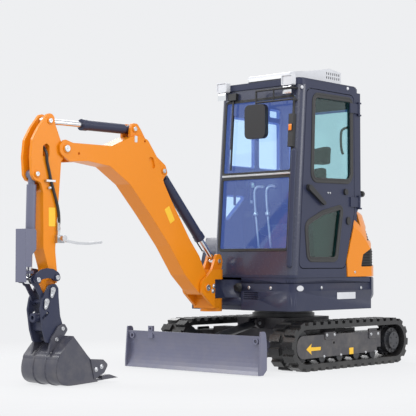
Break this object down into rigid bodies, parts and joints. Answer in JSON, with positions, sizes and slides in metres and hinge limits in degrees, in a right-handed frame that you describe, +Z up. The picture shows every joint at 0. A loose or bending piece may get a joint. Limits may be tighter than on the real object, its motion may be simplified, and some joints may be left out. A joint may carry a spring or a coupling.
{
  "type": "mini excavator",
  "caption": "Compact tracked digger with a glazed cab, dozer blade, swing boom, arm and bucket on a quick hitch",
  "frame": {"origin": "on the ground under the middle of the machine's box", "axes": "+X forward to the bucket, +Y to the machine's left, +Z up"},
  "size_m": [3.9378, 1.527, 2.5976],
  "materials": {
    "slate_paint": "semi-gloss slate grey paint",
    "dark_steel": "satin black-grey paint",
    "track_rubber": "dull black rubber",
    "orange_paint": "gloss orange paint",
    "glass": "tinted safety glass",
    "seat_cloth": "black woven cloth",
    "black_plastic": "grained black plastic",
    "white_plastic": "white moulded plastic",
    "chrome_rod": "hard chrome",
    "bucket_grey": "grey paint, worn at the edges",
    "hose_rubber": "black hydraulic hose",
    "bright_steel": "zinc plated steel"
  },
  "bodies": {
    "undercarriage": {"carbody": "slate_paint", "slew_ring": "dark_steel", "track_frame_left": "slate_paint", "track_frame_right": "slate_paint", "track_rollers": "dark_steel", "idlers": "dark_steel", "sprockets": "dark_steel", "track_left": "track_rubber", "track_right": "track_rubber"},
    "blade": {"blade": "slate_paint"},
    "blade_barrel": {"blade_barrel": "dark_steel"},
    "blade_rod": {"blade_rod": "chrome_rod"},
    "house": {"house_frame": "slate_paint", "skirt": "slate_paint", "counterweight": "slate_paint", "engine": "dark_steel", "side_cover_left": "orange_paint", "side_cover_right": "orange_paint", "tank_cover": "orange_paint", "cab_floor": "slate_paint", "cab_front": "slate_paint", "cab_right_wall": "slate_paint", "cab_rear_wall": "slate_paint", "cab_left_frame": "slate_paint", "cab_roof": "slate_paint", "cab_glass": "glass", "seat": "seat_cloth", "seat_base": "black_plastic", "consoles": "black_plastic", "travel_levers": "black_plastic", "roof_base": "black_plastic", "roof_unit": "white_plastic", "work_lamps": "white_plastic", "post_lamp": "black_plastic", "mirror": "black_plastic", "grab_rail": "slate_paint", "wiper": "black_plastic"},
    "door": {"door": "slate_paint", "door_glass": "glass", "door_handle": "black_plastic"},
    "hood": {"hood": "orange_paint"},
    "swing_post": {"swing_post": "orange_paint"},
    "boom": {"boom": "orange_paint"},
    "boom_barrel": {"boom_barrel": "dark_steel"},
    "boom_rod": {"boom_rod": "chrome_rod"},
    "arm_barrel": {"arm_barrel": "dark_steel"},
    "arm_rod": {"arm_rod": "chrome_rod"},
    "arm": {"arm": "orange_paint", "aux_hose": "hose_rubber", "aux_valve": "bright_steel"},
    "bucket_barrel": {"bucket_barrel": "dark_steel"},
    "bucket_rod": {"bucket_rod": "chrome_rod", "rod_guard": "bucket_grey"},
    "rocker": {"rocker": "dark_steel"},
    "link": {"link": "dark_steel"},
    "bucket": {"hitch": "dark_steel", "bucket": "bucket_grey"}
  },
  "joints": [
    {"name": "slew", "type": "hinge", "parent": "undercarriage", "child": "house", "pos_m": [-1.086, 0, 0.46], "axis": [0, 0, 1], "continuous": true},
    {"name": "door_swing", "type": "hinge", "parent": "house", "child": "door", "pos_m": [-1.198, 0.757, 1.6], "axis": [0, 0, 1], "range_deg": [0, 165]},
    {"name": "hood_lift", "type": "hinge", "parent": "house", "child": "hood", "pos_m": [-1.3, 0, 1.387], "axis": [0, 1, 0], "range_deg": [0, 65]},
    {"name": "boom_swing", "type": "hinge", "parent": "house", "child": "swing_post", "pos_m": [-0.102, 0, 0.68], "axis": [0, 0, -1], "range_deg": [-75, 50]},
    {"name": "boom_lift", "type": "hinge", "parent": "swing_post", "child": "boom", "pos_m": [0.064, 0, 0.692], "axis": [0, -1, 0], "range_deg": [-62, 40]},
    {"name": "arm_curl", "type": "hinge", "parent": "boom", "child": "arm", "pos_m": [1.601, 0, 1.743], "axis": [0, 1, 0], "range_deg": [-70, 25]},
    {"name": "bucket_open", "type": "hinge", "parent": "arm", "child": "bucket", "pos_m": [1.728, 0, 0.697], "axis": [0, -1, 0], "range_deg": [-85, 60]},
    {"name": "blade_lift", "type": "hinge", "parent": "undercarriage", "child": "blade", "pos_m": [-0.726, 0, 0.19], "axis": [0, -1, 0], "range_deg": [-18, 17]},
    {"name": "boom_barrel_turn", "type": "hinge", "parent": "boom", "child": "boom_barrel", "pos_m": [0.536, 0, 1.637], "axis": [0, -1, 0], "range_deg": [-1.32, 1.5]},
    {"name": "boom_rod_slide", "type": "slide", "parent": "boom_barrel", "child": "boom_rod", "axis": [-0.6787, 0, -0.7344], "range_m": [-0.1892, 0.2905]},
    {"name": "arm_barrel_turn", "type": "hinge", "parent": "boom", "child": "arm_barrel", "pos_m": [0.869, 0, 1.95], "axis": [0, -1, 0], "range_deg": [-2.73, 5.84]},
    {"name": "arm_rod_slide", "type": "slide", "parent": "arm_barrel", "child": "arm_rod", "axis": [0.9999, 0, -0.0114], "range_m": [-0.2785, 0.1027]},
    {"name": "bucket_barrel_turn", "type": "hinge", "parent": "arm", "child": "bucket_barrel", "pos_m": [1.869, 0, 1.541], "axis": [0, -1, 0], "range_deg": [-3.46, 2.73]},
    {"name": "bucket_rod_slide", "type": "slide", "parent": "bucket_barrel", "child": "bucket_rod", "axis": [0.0235, 0, -0.9997], "range_m": [-0.1, 0.1396]},
    {"name": "rocker_turn", "type": "hinge", "parent": "arm", "child": "rocker", "pos_m": [1.706, 0, 0.789], "axis": [0, -1, 0], "range_deg": [-46.89, 33.39]},
    {"name": "link_turn", "type": "hinge", "parent": "bucket", "child": "link", "pos_m": [1.787, 0, 0.615], "axis": [0, 1, 0], "range_deg": [-43.55, 31.03]},
    {"name": "blade_barrel_turn", "type": "hinge", "parent": "undercarriage", "child": "blade_barrel", "pos_m": [-0.686, 0, 0.372], "axis": [0, -1, 0], "range_deg": [-19.03, 18.03]},
    {"name": "blade_rod_slide", "type": "slide", "parent": "blade_barrel", "child": "blade_rod", "axis": [0.9807, 0, -0.1953], "range_m": [-0.0596, 0.0628]}
  ],
  "couplings": [
    {"joint": "boom_barrel_turn", "follows": "boom_lift", "ratio": -0.008},
    {"joint": "boom_rod_slide", "follows": "boom_lift", "m_per_rad": -0.26382},
    {"joint": "arm_barrel_turn", "follows": "arm_curl", "ratio": -0.06916},
    {"joint": "arm_rod_slide", "follows": "arm_curl", "m_per_rad": 0.22388},
    {"joint": "bucket_barrel_turn", "follows": "bucket_open", "ratio": 0.028901},
    {"joint": "bucket_rod_slide", "follows": "bucket_open", "m_per_rad": -0.090708},
    {"joint": "rocker_turn", "follows": "bucket_open", "ratio": 0.5399},
    {"joint": "link_turn", "follows": "bucket_open", "ratio": 0.50056},
    {"joint": "blade_barrel_turn", "follows": "blade_lift", "ratio": 1.0016},
    {"joint": "blade_rod_slide", "follows": "blade_lift", "m_per_rad": -0.18396}
  ]
}
